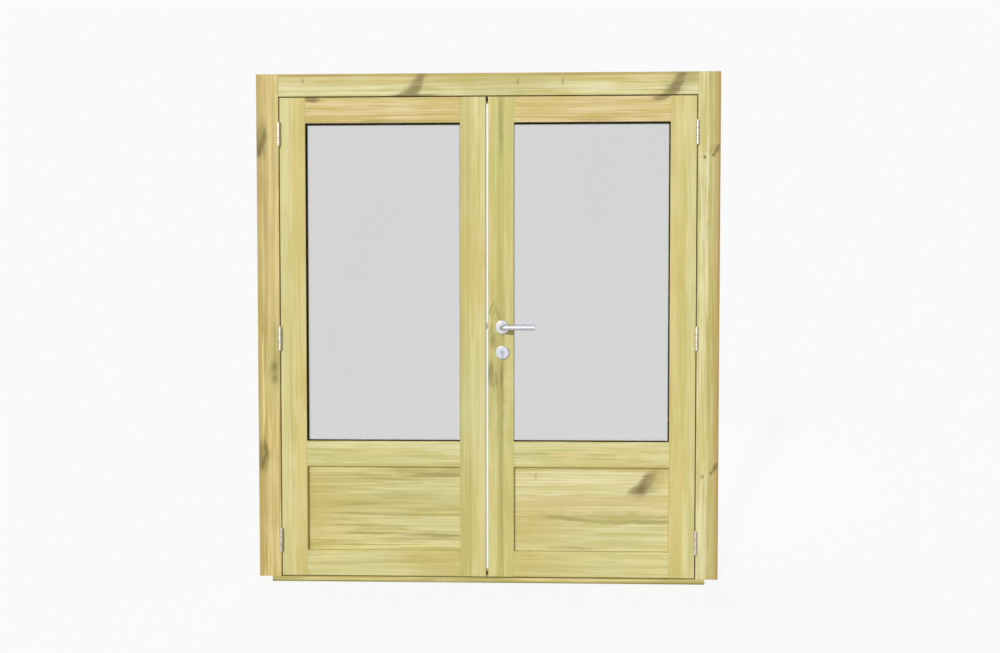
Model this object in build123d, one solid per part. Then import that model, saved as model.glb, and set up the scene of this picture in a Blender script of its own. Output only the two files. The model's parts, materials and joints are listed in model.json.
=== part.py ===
from build123d import *
import os

# A pair of glazed timber doors that swing outwards, in their own frame.
# Sizes are in millimetres. X runs to the right as seen from outside, Y runs inwards and Z up.
# The origin is the middle of the sill's underside.

# Frame
frame_width = 1790.0
frame_height = 1978.0
frame_depth = 90.0
face_width = 87.0
flange_width = 51.0
flange_thickness = 22.0
stop_projection = 14.0
sill_height = 20.0
sill_stop_height = 12.0
fixing_radius = 4.0
fixing_pitch = 400.0
lower_fixing_height = 530.0
upper_fixing_height = 1350.0
fixing_setback = 44.0

# Gaps round the leaves
side_gap = 3.5
top_gap = 4.0
bottom_gap = 5.0
meeting_gap = 9.0
stop_gap = 2.0

# Leaf woodwork
leaf_thickness = 54.0
member_width = 100.0
panel_opening_height = 330.0
arris = 1.5
tenon_length = 45.0
tenon_thickness = 18.0
tenon_cover = 3.0
panel_thickness = 18.0
panel_groove = 12.0
panel_play = 1.5

# Glazing
glass_thickness = 5.0
glass_setback = 32.0
glass_play = 2.0
rebate_width = 14.0
gasket_thickness = 2.0
gasket_lip = 1.2
gasket_flank = 27.5
bead_round = 6.0

# Hinges
hinge_length = 89.0
hinge_plate_width = 38.0
hinge_plate_thickness = 3.0
hinge_end_distance = 140.0
knuckle_radius = 6.5
knuckle_clearance = 0.5
washer_thickness = 1.6
hinge_pin_radius = 3.5
hinge_pin_clearance = 0.05
pin_head_radius = 5.0
pin_head_thickness = 3.0
pin_head_round = 1.5
hinge_screw_pitch = 31.0
hinge_screw_stagger = 6.0

# Countersunk wood screws
screw_radius = 2.0
screw_head_radius = 4.0
screw_head_depth = 2.2
screw_length = 24.0
screw_clearance = 0.05
screw_cross_span = 4.4
screw_cross_width = 1.1
screw_cross_depth = 1.2

# Mortice lock in the right leaf
lock_backset = 55.0
lever_height = 1000.0
key_drop = 98.0
case_thickness = 16.0
case_wall = 1.5
case_behind = 22.0
case_above = 40.0
case_below = 46.0
edge_plate_thickness = 3.0
edge_plate_width = 20.0
edge_plate_overhang = 24.0
edge_plate_screw_inset = 10.0
bolt_hole_clearance = 0.25

# Follower and spindle
spindle_side = 8.0
spindle_clearance = 0.05
spindle_engagement = 22.0
spindle_hole_radius = 10.0
follower_radius = 10.0
follower_clearance = 0.08
follower_arm_width = 5.0
follower_arm_reach = 16.0

# Latch bolt
latch_width = 12.0
latch_below_axis = 8.0
latch_above_axis = 18.0
latch_projection = 6.5
latch_travel = 6.0
latch_bevel = 5.0
latch_tail_gap = 3.0
latch_tail_thickness = 3.0
latch_tail_height = 6.0
latch_lug_distance = 8.5
latch_lug_width = 4.0
latch_arm_gap = 1.0
latch_pocket_depth = 12.0

# Dead bolt
dead_bolt_width = 12.5
dead_bolt_height = 20.0
dead_bolt_inset = 0.5
dead_bolt_travel = 20.0
dead_bolt_cam_gap = 1.0
dead_bolt_pocket_depth = 19.0

# Profile cylinder
cylinder_radius = 8.5
cylinder_web_width = 10.0
cylinder_drop = 24.5
cylinder_proud = 1.5
cylinder_clearance = 0.3
plug_radius = 6.5
plug_clearance = 0.06
cam_radius = 13.0
cam_width = 9.0
cam_finger_width = 6.0
cam_side_gap = 0.5
keyway_width = 2.0
keyway_height = 8.5
keyway_depth = 22.0
cylinder_screw_drop = 19.0
cylinder_screw_length = 56.0

# Lever handles and roses
rose_radius = 26.0
rose_thickness = 9.0
rose_round = 2.5
lever_radius = 10.5
lever_clearance = 0.3
lever_projection = 54.0
lever_reach = 127.0
lever_bend = 17.0
lever_end_round = 1.5

# Flush bolts in the left leaf
flush_plate_length = 170.0
flush_plate_thickness = 2.5
flush_plate_width = 20.0
flush_rod_radius = 6.0
flush_rod_setback = 12.5
flush_rod_length = 120.0
flush_rod_clearance = 0.3
flush_rod_inset = 1.0
flush_travel = 16.0
flush_thumb_width = 8.0
flush_thumb_height = 22.0
flush_thumb_inset = 0.5
flush_thumb_offset = 12.0
flush_slot_clearance = 0.5
flush_screw_inset = 12.0
flush_screw_pitch = 24.0
keep_length = 40.0
keep_width = 22.0
keep_thickness = 2.5
keep_clearance = 0.6
keep_depth_spare = 3.0
keep_screw_pitch = 28.0
keep_screw_length = 15.0

# A cut runs past the face that it starts from by this much
overrun = 5.0

# Main planes and lines, from the sizes above
frame_half = frame_width / 2
front_y = -frame_depth / 2
back_y = frame_depth / 2
opening_half = frame_half - face_width
core_half = frame_half - flange_width
core_thickness = core_half - opening_half
head_low = frame_height - face_width
head_core_top = head_low + core_thickness
flange_back = front_y + flange_thickness
stop_y = front_y + leaf_thickness + stop_gap
stop_half = opening_half - stop_projection

leaf_front = front_y
leaf_back = front_y + leaf_thickness
leaf_mid = (leaf_front + leaf_back) / 2
leaf_inner = meeting_gap / 2
leaf_outer = opening_half - side_gap
leaf_bottom = sill_height + bottom_gap
leaf_top = head_low - top_gap
sight_x = (leaf_inner + member_width, leaf_outer - member_width)
panel_z = (leaf_bottom + member_width, leaf_bottom + member_width + panel_opening_height)
glass_z = (panel_z[1] + member_width, leaf_top - member_width)
tenon_shoulder = max(rebate_width, panel_groove) + tenon_cover

hinge_projection = knuckle_radius + knuckle_clearance
hinge_x = (leaf_outer + opening_half) / 2
hinge_y = front_y - hinge_projection
lower_hinge_z = leaf_bottom + hinge_end_distance
upper_hinge_z = leaf_top - hinge_end_distance
hinge_heights = {
    "bottom": lower_hinge_z,
    "middle": (lower_hinge_z + upper_hinge_z) / 2,
    "top": upper_hinge_z,
}
knuckle_length = (hinge_length - 2 * washer_thickness) / 3

spindle_x = leaf_inner + lock_backset
key_height = lever_height - key_drop
flush_x = -leaf_inner - flush_rod_setback

nodes = {}


# Basic shapes
def block(x_span, y_span, z_span):
    spans = (x_span, y_span, z_span)
    centre = [(low + high) / 2 for low, high in spans]
    size = [abs(high - low) for low, high in spans]
    return Pos(*centre) * Box(*size)


def about(middle, width):
    return (middle - width / 2, middle + width / 2)


def grow(span, margin):
    return (span[0] - margin, span[1] + margin)


def rod_x(radius, x_span, y, z):
    middle = (x_span[0] + x_span[1]) / 2
    return Pos(middle, y, z) * Rot(0, 90, 0) * Cylinder(radius, x_span[1] - x_span[0])


def rod_y(radius, y_span, x, z):
    middle = (y_span[0] + y_span[1]) / 2
    return Pos(x, middle, z) * Rot(90, 0, 0) * Cylinder(radius, y_span[1] - y_span[0])


def rod_z(radius, z_span, x, y):
    middle = (z_span[0] + z_span[1]) / 2
    return Pos(x, y, middle) * Cylinder(radius, z_span[1] - z_span[0])


def mirrored(shape):
    return mirror(shape, about=Plane.YZ)


def ease(shape, axis, y):
    # takes the arris off the long edges of a member that lie on one face plane
    edges = [edge for edge in shape.edges().filter_by(axis) if abs(edge.center().Y - y) < arris]
    return chamfer(edges, arris)


# Screws: the head's flat face is at the origin and the shank runs down
def screw_form(gap, length):
    seat = (Align.CENTER, Align.CENTER, Align.MAX)
    head = Cone(screw_radius + gap, screw_head_radius + gap, screw_head_depth, align=seat)
    return head + Cylinder(screw_radius + gap, length + gap, align=seat)


def screw(length):
    cross = Box(screw_cross_span, screw_cross_width, 2 * screw_cross_depth)
    cross += Box(screw_cross_width, screw_cross_span, 2 * screw_cross_depth)
    return screw_form(0, length) - cross


def placed(shape, points, direction):
    return [Plane(origin=point, z_dir=direction) * shape for point in points]


def fasten(pieces, points, direction, screws, length=screw_length):
    # drills the pieces for screws at the points, and adds the screws to a list
    holes = placed(screw_form(screw_clearance, length), points, direction)
    screws += placed(screw(length), points, direction)
    return [piece - holes for piece in pieces]


# Frame timbers
def make_jamb():
    core_z = (sill_height, head_core_top)
    timber = block((opening_half, core_half), (front_y, back_y), core_z)
    timber += block((opening_half, frame_half), (front_y, flange_back), (sill_height, frame_height))
    timber += block((stop_half, opening_half), (stop_y, back_y), core_z)
    timber = ease(timber, Axis.Z, front_y)
    for pair_height in (lower_fixing_height, upper_fixing_height):
        for z in about(pair_height, fixing_pitch):
            timber -= rod_x(fixing_radius, grow((opening_half, core_half), overrun),
                            front_y + fixing_setback, z)
    return timber


def make_head():
    timber = block((-opening_half, opening_half), (front_y, back_y), (head_low, head_core_top))
    timber += block((-opening_half, opening_half), (front_y, flange_back), (head_low, frame_height))
    timber += block((-stop_half, stop_half), (stop_y, back_y), (head_low - stop_projection, head_low))
    timber = ease(timber, Axis.X, front_y)
    for side in (-1, 1):
        timber -= block(sorted((side * stop_half, side * opening_half)), (stop_y, back_y),
                        (head_low, head_core_top))
    return timber


def make_sill():
    timber = block((-core_half, core_half), (front_y, back_y), (0, sill_height))
    stop_z = (sill_height, sill_height + sill_stop_height)
    timber += block((-stop_half, stop_half), (stop_y, back_y), stop_z)
    return ease(timber, Axis.X, front_y)


# Leaf woodwork, drawn for the right leaf
tenon_y = about(leaf_mid, tenon_thickness)
panel_y = about(leaf_mid, panel_thickness)
leaf_y = (leaf_front, leaf_back)
rebate_front = leaf_front + glass_setback - gasket_thickness
glass_y = (leaf_front + glass_setback, leaf_front + glass_setback + glass_thickness)
glass_pocket = block(
    grow(sight_x, rebate_width), (rebate_front, leaf_back + overrun), grow(glass_z, rebate_width))
panel_pocket = block(grow(sight_x, panel_groove), panel_y, grow(panel_z, panel_groove))
rail_heights = {
    "top": (glass_z[1], leaf_top),
    "middle": (panel_z[1], glass_z[0]),
    "bottom": (leaf_bottom, panel_z[0]),
}


def make_tenons(rail_z):
    tenon_z = grow(rail_z, -tenon_shoulder)
    near = block((sight_x[0] - tenon_length, sight_x[0]), tenon_y, tenon_z)
    far = block((sight_x[1], sight_x[1] + tenon_length), tenon_y, tenon_z)
    return near + far


def make_rail(rail_z):
    timber = block(sight_x, leaf_y, rail_z)
    timber = chamfer(timber.edges().filter_by(Axis.X), arris)
    return timber + make_tenons(rail_z) - glass_pocket - panel_pocket


def make_stile(stile_x):
    timber = block(stile_x, leaf_y, (leaf_bottom, leaf_top))
    timber = chamfer(timber.edges().filter_by(Axis.Z), arris)
    for rail_z in rail_heights.values():
        timber -= make_tenons(rail_z)
    return timber - glass_pocket - panel_pocket


def make_panel():
    return block(
        grow(sight_x, panel_groove - panel_play),
        panel_y,
        (panel_z[0] - panel_groove, panel_z[1] + panel_groove - panel_play),
    )


def make_glass():
    edge = rebate_width - glass_play
    return block(grow(sight_x, edge), glass_y, grow(glass_z, edge))


def make_gasket():
    # a flat leg in front of the glass, and a thin flank that lines the reveal
    edge = rebate_width - glass_play
    leg_y = (rebate_front, glass_y[0])
    flank_y = (rebate_front - gasket_flank, glass_y[0])
    ring = block(grow(sight_x, edge), leg_y, grow(glass_z, edge))
    ring += block(sight_x, flank_y, glass_z)
    return ring - block(grow(sight_x, -gasket_lip), grow(flank_y, overrun), grow(glass_z, -gasket_lip))


def make_beads():
    # upright beads run the full height of the rebate, level ones fit between them
    bead_y = (glass_y[1], leaf_back)
    tall_z = grow(glass_z, rebate_width)
    beads = []
    for x, inward in ((sight_x[0], 1), (sight_x[1], -1)):
        bead = block(sorted((x, x - inward * rebate_width)), bead_y, tall_z)
        beads.append(fillet(bead.edges().filter_by(Axis.Z).sort_by(
            lambda edge: edge.center().Y + inward * edge.center().X)[-1], bead_round))
    for z, inward in ((glass_z[0], 1), (glass_z[1], -1)):
        bead = block(sight_x, bead_y, sorted((z, z - inward * rebate_width)))
        beads.append(fillet(bead.edges().filter_by(Axis.X).sort_by(
            lambda edge: edge.center().Y + inward * edge.center().Z)[-1], bead_round))
    return beads


# Hinges, drawn for the right leaf
def knuckle_spans(z):
    low = z - hinge_length / 2
    pitch = knuckle_length + washer_thickness
    return [(low + place * pitch, low + place * pitch + knuckle_length) for place in range(3)]


def make_hinge_plate(z, plate_x, spans):
    plate = block(plate_x, (front_y, front_y + hinge_plate_width), about(z, hinge_length))
    for span in spans:
        plate += block(plate_x, (hinge_y, front_y), span)
        plate += rod_z(knuckle_radius, span, hinge_x, hinge_y)
    bore_z = about(z, hinge_length + overrun)
    return plate - rod_z(hinge_pin_radius + hinge_pin_clearance, bore_z, hinge_x, hinge_y)


def make_hinge_pin(z):
    pin = rod_z(hinge_pin_radius, about(z, hinge_length), hinge_x, hinge_y)
    for end in (-1, 1):
        tip = z + end * hinge_length / 2
        head = rod_z(pin_head_radius, sorted((tip, tip + end * pin_head_thickness)), hinge_x, hinge_y)
        rim = head.edges().filter_by(GeomType.CIRCLE).sort_by(Axis.Z)[-1 if end > 0 else 0]
        pin += fillet(rim, pin_head_round)
    return pin


def make_washers(z):
    spans = knuckle_spans(z)
    rings = []
    for below, above in zip(spans, spans[1:]):
        ring = rod_z(knuckle_radius, (below[1], above[0]), hinge_x, hinge_y)
        rings.append(ring - rod_z(hinge_pin_radius + hinge_pin_clearance,
                                  grow((below[1], above[0]), overrun), hinge_x, hinge_y))
    return rings


def hinge_screw_points(z, x):
    middle = front_y + hinge_plate_width / 2
    places = ((-hinge_screw_pitch, -1), (0, 1), (hinge_screw_pitch, -1))
    return [(x, middle + turn * hinge_screw_stagger, z + rise) for rise, turn in places]


# The frame and its hinges
jambs = {"right": make_jamb()}
jambs["left"] = mirrored(jambs["right"])
head = make_head()
sill = make_sill()
stiles = {("right", "hinge"): make_stile((sight_x[1], leaf_outer))}
stiles["right", "meeting"] = make_stile((leaf_inner, sight_x[0]))
for place in ("hinge", "meeting"):
    stiles["left", place] = mirrored(stiles["right", place])

frame_plate_x = (opening_half, opening_half + hinge_plate_thickness)
leaf_plate_x = (leaf_outer - hinge_plate_thickness, leaf_outer)
frame_screws = []
leaf_screws = {"left": [], "right": []}
hinge_pins = []
hinge_washers = []
for level, z in hinge_heights.items():
    spans = knuckle_spans(z)
    frame_plate = make_hinge_plate(z, frame_plate_x, (spans[0], spans[2]))
    leaf_plate = make_hinge_plate(z, leaf_plate_x, (spans[1],))
    seat_y = (front_y, front_y + hinge_plate_width)
    frame_seat = block(frame_plate_x, seat_y, about(z, hinge_length))
    leaf_seat = block(leaf_plate_x, seat_y, about(z, hinge_length))
    for side, sign in (("left", -1), ("right", 1)):
        turn = mirrored if side == "left" else (lambda shape: shape)
        points = hinge_screw_points(z, sign * opening_half)
        nodes[f"{side}_{level}_hinge_frame_plate"], jambs[side] = fasten(
            [turn(frame_plate), jambs[side] - turn(frame_seat)], points, (-sign, 0, 0), frame_screws)
        points = hinge_screw_points(z, sign * leaf_outer)
        nodes[f"{side}_{level}_hinge_leaf_plate"], stiles[side, "hinge"] = fasten(
            [turn(leaf_plate), stiles[side, "hinge"] - turn(leaf_seat)], points, (sign, 0, 0),
            leaf_screws[side])
        hinge_pins.append(turn(make_hinge_pin(z)))
        hinge_washers += [turn(ring) for ring in make_washers(z)]

# Lock case and its edge plates
case_x = (leaf_inner + edge_plate_thickness, spindle_x + case_behind)
case_y = about(leaf_mid, case_thickness)
case_z = (key_height - case_below, lever_height + case_above)
edge_plate_z = grow(case_z, edge_plate_overhang)
edge_plate_y = about(leaf_mid, edge_plate_width)
latch_y = about(leaf_mid, latch_width)
latch_z = (lever_height - latch_below_axis, lever_height + latch_above_axis)
dead_bolt_y = about(leaf_mid, dead_bolt_width)
dead_bolt_low = key_height + cam_radius + dead_bolt_cam_gap
dead_bolt_z = (dead_bolt_low, dead_bolt_low + dead_bolt_height)


def cylinder_form(y_span, gap):
    # round head and straight web of the profile cylinder
    web_z = (key_height - cylinder_drop - gap, key_height)
    form = rod_y(cylinder_radius + gap, y_span, spindle_x, key_height)
    return form + block(about(spindle_x, cylinder_web_width + 2 * gap), y_span, web_z)


def make_lock_case():
    cavity_x = (case_x[0] - overrun, case_x[1] - case_wall)
    case = block(case_x, case_y, case_z)
    case -= block(cavity_x, grow(case_y, -case_wall), grow(case_z, -case_wall))
    case -= rod_y(follower_radius + follower_clearance, grow(case_y, overrun), spindle_x, lever_height)
    return case - cylinder_form(grow(case_y, overrun), cylinder_clearance)


def make_edge_plate(plate_x):
    plate = block(plate_x, edge_plate_y, edge_plate_z)
    for bolt_y, bolt_z in ((latch_y, latch_z), (dead_bolt_y, dead_bolt_z)):
        hole_y = grow(bolt_y, bolt_hole_clearance)
        plate -= block(grow(plate_x, overrun), hole_y, grow(bolt_z, bolt_hole_clearance))
    return plate


def edge_plate_screw_points(x):
    return [(x, leaf_mid, z) for z in grow(edge_plate_z, -edge_plate_screw_inset)]


faceplate_x = (leaf_inner, leaf_inner + edge_plate_thickness)
strike_x = (-leaf_inner - edge_plate_thickness, -leaf_inner)
right_meeting = stiles["right", "meeting"] - block(faceplate_x, edge_plate_y, edge_plate_z)
right_meeting -= block(case_x, case_y, case_z)
right_meeting -= rod_y(spindle_hole_radius, grow(leaf_y, overrun), spindle_x, lever_height)
right_meeting -= cylinder_form(grow(leaf_y, overrun), cylinder_clearance)
faceplate, right_meeting = fasten(
    [make_edge_plate(faceplate_x), right_meeting], edge_plate_screw_points(leaf_inner),
    (-1, 0, 0), leaf_screws["right"])

left_meeting = stiles["left", "meeting"] - block(strike_x, edge_plate_y, edge_plate_z)
for bolt_y, bolt_z, depth in (
    (latch_y, latch_z, latch_pocket_depth),
    (dead_bolt_y, dead_bolt_z, dead_bolt_pocket_depth),
):
    pocket_x = (-leaf_inner - depth, -leaf_inner + overrun)
    left_meeting -= block(pocket_x, grow(bolt_y, bolt_hole_clearance), grow(bolt_z, bolt_hole_clearance))
strike_plate, left_meeting = fasten(
    [make_edge_plate(strike_x), left_meeting], edge_plate_screw_points(-leaf_inner),
    (1, 0, 0), leaf_screws["left"])


# Moving pieces of the lock
def make_follower():
    arm_y = (latch_y[0] + latch_tail_thickness + latch_arm_gap, latch_y[1] - latch_arm_gap)
    arm_z = (lever_height, lever_height + follower_arm_reach)
    hub = rod_y(follower_radius, case_y, spindle_x, lever_height)
    hub += block(about(spindle_x, follower_arm_width), arm_y, arm_z)
    socket = spindle_side + 2 * spindle_clearance
    return hub - block(about(spindle_x, socket), grow(case_y, overrun), about(lever_height, socket))


def make_latch_bolt():
    head_x = (leaf_inner - latch_projection, spindle_x - follower_radius - latch_travel - latch_tail_gap)
    bolt = block(head_x, latch_y, latch_z)
    corner = bolt.edges().filter_by(Axis.Z).sort_by(lambda edge: edge.center().Y - edge.center().X)[-1]
    bolt = chamfer(corner, latch_bevel)
    tail_z = (latch_z[1] - latch_tail_height, latch_z[1])
    tail_y = (latch_y[0], latch_y[0] + latch_tail_thickness)
    lug_x = (spindle_x + latch_lug_distance, spindle_x + latch_lug_distance + latch_lug_width)
    bolt += block((head_x[1], lug_x[1]), tail_y, tail_z)
    return bolt + block(lug_x, (latch_y[0], latch_y[1] - latch_arm_gap), tail_z)


def make_dead_bolt():
    bolt = block((leaf_inner + dead_bolt_inset, spindle_x), dead_bolt_y, dead_bolt_z)
    tip = [edge for edge in bolt.edges().filter_by(Axis.Z) if edge.center().X < case_x[0]]
    return chamfer(tip, arris)


# Profile cylinder and its plug
cylinder_y = (
    leaf_front - rose_thickness - cylinder_proud,
    leaf_back + rose_thickness + cylinder_proud,
)


def make_cylinder_body():
    body = cylinder_form(cylinder_y, 0)
    gap_y = about(leaf_mid, cam_width + 2 * cam_side_gap)
    gap_z = (key_height - cam_radius - cam_side_gap, key_height + cylinder_radius + overrun)
    body -= block(about(spindle_x, 2 * (cylinder_radius + overrun)), gap_y, gap_z)
    return body - rod_y(plug_radius + plug_clearance, grow(cylinder_y, overrun), spindle_x, key_height)


def make_cylinder_plug():
    plug = rod_y(plug_radius, cylinder_y, spindle_x, key_height)
    cam_y = about(leaf_mid, cam_width)
    plug += rod_y(cylinder_radius, cam_y, spindle_x, key_height)
    plug += block(about(spindle_x, cam_finger_width), cam_y, (key_height - cam_radius, key_height))
    for mouth, inward in ((cylinder_y[0], 1), (cylinder_y[1], -1)):
        slot_y = sorted((mouth - inward * overrun, mouth + inward * keyway_depth))
        plug -= block(about(spindle_x, keyway_width), slot_y, about(key_height, keyway_height))
    return plug


cylinder_body, faceplate = fasten(
    [make_cylinder_body(), faceplate], [(leaf_inner, leaf_mid, key_height - cylinder_screw_drop)],
    (-1, 0, 0), leaf_screws["right"], cylinder_screw_length)


# Handles, drawn for the outer face and mirrored about the leaf's middle plane
def inner_side(shape):
    return mirror(shape, about=Plane(origin=(0, leaf_mid, 0), z_dir=(0, 1, 0)))


def make_rose(z):
    rose = rod_y(rose_radius, (leaf_front - rose_thickness, leaf_front), spindle_x, z)
    rim = rose.edges().filter_by(GeomType.CIRCLE).sort_by(Axis.Y)[0]
    return fillet(rim, rose_round)


def make_lever_rose():
    bore_y = grow((leaf_front - rose_thickness, leaf_front), overrun)
    return make_rose(lever_height) - rod_y(lever_radius + lever_clearance, bore_y, spindle_x, lever_height)


def make_key_rose():
    bore_y = grow((leaf_front - rose_thickness, leaf_front), overrun)
    return make_rose(key_height) - cylinder_form(bore_y, cylinder_clearance)


def make_lever():
    bar_y = leaf_front - lever_projection
    foot = Vector(spindle_x, leaf_front, lever_height)
    elbow = Vector(spindle_x, bar_y, lever_height)
    tip = Vector(spindle_x + lever_reach, bar_y, lever_height)
    route = FilletPolyline(foot, elbow, tip, radius=lever_bend)
    lever = sweep(Plane(origin=foot, z_dir=elbow - foot) * Circle(lever_radius), path=route)
    end_edge = lever.edges().filter_by(GeomType.CIRCLE).sort_by(Axis.X)[-1]
    lever = fillet(end_edge, lever_end_round)
    socket = spindle_side + 2 * spindle_clearance
    socket_y = (leaf_front - spindle_engagement, leaf_front + overrun)
    return lever - block(about(spindle_x, socket), socket_y, about(lever_height, socket))


def make_spindle():
    spindle_y = grow(leaf_y, spindle_engagement)
    return block(about(spindle_x, spindle_side), spindle_y, about(lever_height, spindle_side))


# Flush bolts: up is 1 for the bolt at the top of the leaf and -1 for the one at the bottom
def flush_z(end, up, near, far):
    return sorted((end - up * near, end - up * far))


def make_flush_bolt(end, up):
    rod_end = flush_rod_inset + flush_rod_length
    thumb_far = rod_end - flush_thumb_offset
    bolt = rod_z(flush_rod_radius, flush_z(end, up, flush_rod_inset, rod_end), flush_x, leaf_mid)
    thumb_x = (flush_x, -leaf_inner - flush_thumb_inset)
    thumb_z = flush_z(end, up, thumb_far - flush_thumb_height, thumb_far)
    return bolt + block(thumb_x, about(leaf_mid, flush_thumb_width), thumb_z)


def make_flush_slot(end, up):
    thumb_far = flush_rod_inset + flush_rod_length - flush_thumb_offset
    thumb_near = thumb_far - flush_thumb_height - flush_travel
    slot_z = flush_z(end, up, thumb_near - flush_slot_clearance, thumb_far + flush_slot_clearance)
    slot_y = about(leaf_mid, flush_thumb_width + 2 * flush_slot_clearance)
    return block((flush_x, -leaf_inner + overrun), slot_y, slot_z)


def make_flush_bore(end, up):
    bore_z = flush_z(end, up, -overrun, flush_rod_inset + flush_rod_length)
    return rod_z(flush_rod_radius + flush_rod_clearance, bore_z, flush_x, leaf_mid)


def make_keep(face, up, end):
    # a flat plate let into the head or the sill, and the socket cut behind it
    reach = flush_travel - flush_rod_inset - abs(face - end) + keep_depth_spare
    socket_z = sorted((face - up * overrun, face + up * reach))
    socket = rod_z(flush_rod_radius + keep_clearance, socket_z, flush_x, leaf_mid)
    plate_z = sorted((face, face + up * keep_thickness))
    plate = block(about(flush_x, keep_length), about(leaf_mid, keep_width), plate_z)
    return plate, socket


flush_plate_x = (-leaf_inner - flush_plate_thickness, -leaf_inner)
frame_members = {1: head, -1: sill}
for name, up, end, face in (("top", 1, leaf_top, head_low), ("bottom", -1, leaf_bottom, sill_height)):
    slot = make_flush_slot(end, up)
    plate_z = flush_z(end, up, 0, flush_plate_length)
    plate = block(flush_plate_x, about(leaf_mid, flush_plate_width), plate_z)
    left_meeting = left_meeting - plate - slot - make_flush_bore(end, up)
    far_inset = flush_plate_length - flush_screw_inset
    insets = (far_inset - flush_screw_pitch, far_inset)
    points = [(-leaf_inner, leaf_mid, end - up * inset) for inset in insets]
    nodes[f"{name}_bolt_plate"], left_meeting = fasten(
        [plate - slot, left_meeting], points, (1, 0, 0), leaf_screws["left"])
    nodes[f"{name}_flush_bolt"] = make_flush_bolt(end, up)
    keep, socket = make_keep(face, up, end)
    points = [(x, leaf_mid, face) for x in about(flush_x, keep_screw_pitch)]
    keep_name = "head_bolt_keep" if up > 0 else "sill_bolt_keep"
    nodes[keep_name], frame_members[up] = fasten(
        [keep - socket, frame_members[up] - keep - socket], points, (0, 0, -up),
        frame_screws, keep_screw_length)

# Nodes of the frame
nodes["left_jamb"] = jambs["left"]
nodes["right_jamb"] = jambs["right"]
nodes["head"] = frame_members[1]
nodes["sill"] = frame_members[-1]
nodes["hinge_pins"] = Compound(hinge_pins)
nodes["hinge_washers"] = Compound(hinge_washers)
nodes["frame_screws"] = Compound(frame_screws)

# Nodes of both leaves
stiles["left", "meeting"] = left_meeting
stiles["right", "meeting"] = right_meeting
for side in ("left", "right"):
    turn = mirrored if side == "left" else (lambda shape: shape)
    for place in ("hinge", "meeting"):
        nodes[f"{side}_{place}_stile"] = stiles[side, place]
    for level, rail_z in rail_heights.items():
        nodes[f"{side}_{level}_rail"] = turn(make_rail(rail_z))
    nodes[f"{side}_lower_panel"] = turn(make_panel())
    nodes[f"{side}_glass"] = turn(make_glass())
    nodes[f"{side}_glazing_gasket"] = turn(make_gasket())
    nodes[f"{side}_glazing_beads"] = Compound([turn(bead) for bead in make_beads()])
    nodes[f"{side}_leaf_screws"] = Compound(leaf_screws[side])

# Nodes of the lock and the handles
nodes["strike_plate"] = strike_plate
nodes["lock_faceplate"] = faceplate
nodes["lock_case"] = make_lock_case()
nodes["lock_follower"] = make_follower()
nodes["latch_bolt"] = make_latch_bolt()
nodes["dead_bolt"] = make_dead_bolt()
nodes["cylinder_body"] = cylinder_body
nodes["cylinder_plug"] = make_cylinder_plug()
nodes["spindle"] = make_spindle()
for name, shape in (("rose", make_lever_rose()), ("key_rose", make_key_rose()), ("lever", make_lever())):
    nodes[f"outer_{name}"] = shape
    nodes[f"inner_{name}"] = inner_side(shape)

os.makedirs("parts", exist_ok=True)
for name, shape in nodes.items():
    export_step(shape, f"parts/{name}.step")
print(len(nodes), "nodes")
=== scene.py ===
import json
import math

import bpy
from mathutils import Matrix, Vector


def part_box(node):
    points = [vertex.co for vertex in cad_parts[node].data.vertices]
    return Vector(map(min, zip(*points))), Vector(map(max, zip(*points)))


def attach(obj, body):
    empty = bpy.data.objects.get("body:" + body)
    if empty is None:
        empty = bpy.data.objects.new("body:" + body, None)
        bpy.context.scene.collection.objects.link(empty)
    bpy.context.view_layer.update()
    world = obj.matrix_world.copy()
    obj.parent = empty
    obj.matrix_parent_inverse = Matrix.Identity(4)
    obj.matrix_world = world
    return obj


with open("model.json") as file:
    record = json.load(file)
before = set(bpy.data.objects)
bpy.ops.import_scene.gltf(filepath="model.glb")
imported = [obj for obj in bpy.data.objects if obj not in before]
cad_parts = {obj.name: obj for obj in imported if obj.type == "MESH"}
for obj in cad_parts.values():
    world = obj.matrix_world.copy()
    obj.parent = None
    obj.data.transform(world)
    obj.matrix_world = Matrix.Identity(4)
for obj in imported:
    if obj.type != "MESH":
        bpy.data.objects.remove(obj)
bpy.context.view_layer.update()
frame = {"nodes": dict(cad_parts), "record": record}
nodes = frame["nodes"]
scene = bpy.context.scene
scene.view_settings.view_transform = "Standard"
print("frame loaded:", len(nodes), "nodes")


# Small helpers for node trees
def linear(red, green, blue):
    # a colour as it reads on a screen, 0 to 255, turned to what the shaders take
    return tuple(((c / 255 + 0.055) / 1.055) ** 2.4 for c in (red, green, blue)) + (1.0,)


def put(tree, kind, values=None, **settings):
    node = tree.nodes.new(kind)
    for key, value in settings.items():
        setattr(node, key, value)
    for key, value in (values or {}).items():
        if isinstance(value, bpy.types.NodeSocket):
            tree.links.new(value, node.inputs[key])
        else:
            node.inputs[key].default_value = value
    return node


def calc(tree, operation, first, second=0.0, third=0.0):
    return put(tree, "ShaderNodeMath", {0: first, 1: second, 2: third}, operation=operation).outputs[0]


def vecCalc(tree, operation, first, second=(0.0, 0.0, 0.0)):
    return put(tree, "ShaderNodeVectorMath", {0: first, 1: second}, operation=operation)


def ramp(tree, value, low, high, newLow=0.0, newHigh=1.0):
    return put(tree, "ShaderNodeMapRange", {0: value, 1: low, 2: high, 3: newLow, 4: newHigh},
               interpolation_type="SMOOTHSTEP").outputs[0]


def mixColor(tree, share, first, second, mode="MIX"):
    return put(tree, "ShaderNodeMix", {0: share, 6: first, 7: second},
               data_type="RGBA", blend_type=mode).outputs[2]


def split(tree, vector):
    return put(tree, "ShaderNodeSeparateXYZ", {0: vector}).outputs


def grey(tree, level):
    return put(tree, "ShaderNodeCombineColor", {0: level, 1: level, 2: level}).outputs[0]


def ownPlace(tree):
    return put(tree, "ShaderNodeTexCoord").outputs["Object"]


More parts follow.
